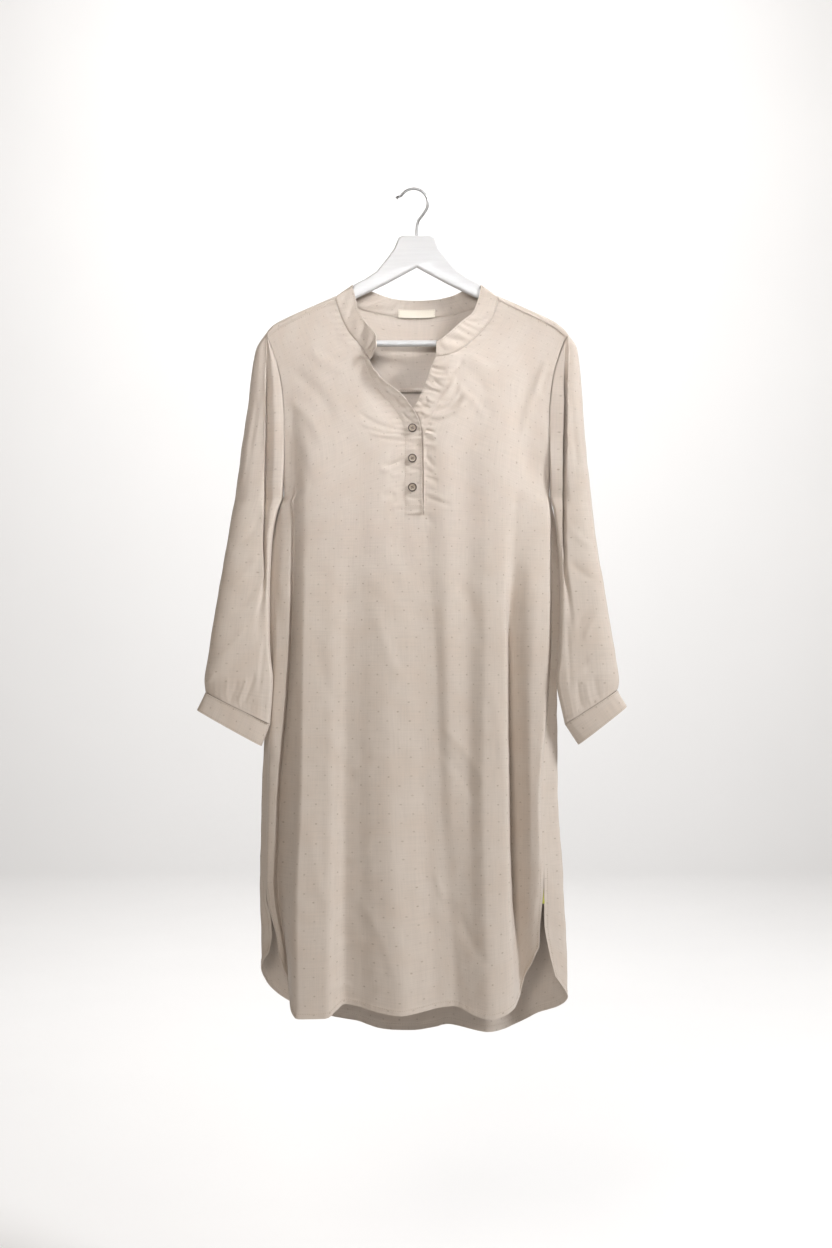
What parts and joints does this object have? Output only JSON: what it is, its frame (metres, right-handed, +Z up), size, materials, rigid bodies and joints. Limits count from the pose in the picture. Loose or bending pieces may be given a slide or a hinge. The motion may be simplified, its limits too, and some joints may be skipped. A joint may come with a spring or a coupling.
{
  "type": "midi dress on a hanger",
  "caption": "Loose long-sleeved midi dress with a band collar, half placket and curved side-slit hem, hanging on a plain wooden hanger.",
  "frame": {"origin": "inner top of the hook's crook, where the hanger hangs", "axes": "+Z up; -Y is the front, towards the viewer; +X is the viewer's right"},
  "size_m": [0.6075, 0.09, 1.2126],
  "materials": {
    "dress_cloth": "soft matt plain weave with tiny tone-on-tone pin dots",
    "button_resin": "satin, darker rim",
    "woven_label": "fine woven tape, left without text",
    "care_tape": "satin tape",
    "painted_wood": "white satin paint",
    "zinc_wire": "zinc plated wire"
  },
  "bodies": {
    "root": {"front": "dress_cloth", "back": "dress_cloth", "back_yoke": "dress_cloth", "collar_band": "dress_cloth", "placket_over": "dress_cloth", "placket_under": "dress_cloth", "sleeve_left": "dress_cloth", "sleeve_right": "dress_cloth", "cuff_left": "dress_cloth", "cuff_right": "dress_cloth", "button_1": "button_resin", "button_2": "button_resin", "button_3": "button_resin", "neck_label": "woven_label", "care_tab": "care_tape", "hanger_body": "painted_wood", "trouser_bar": "painted_wood", "hook": "zinc_wire"}
  },
  "joints": []
}
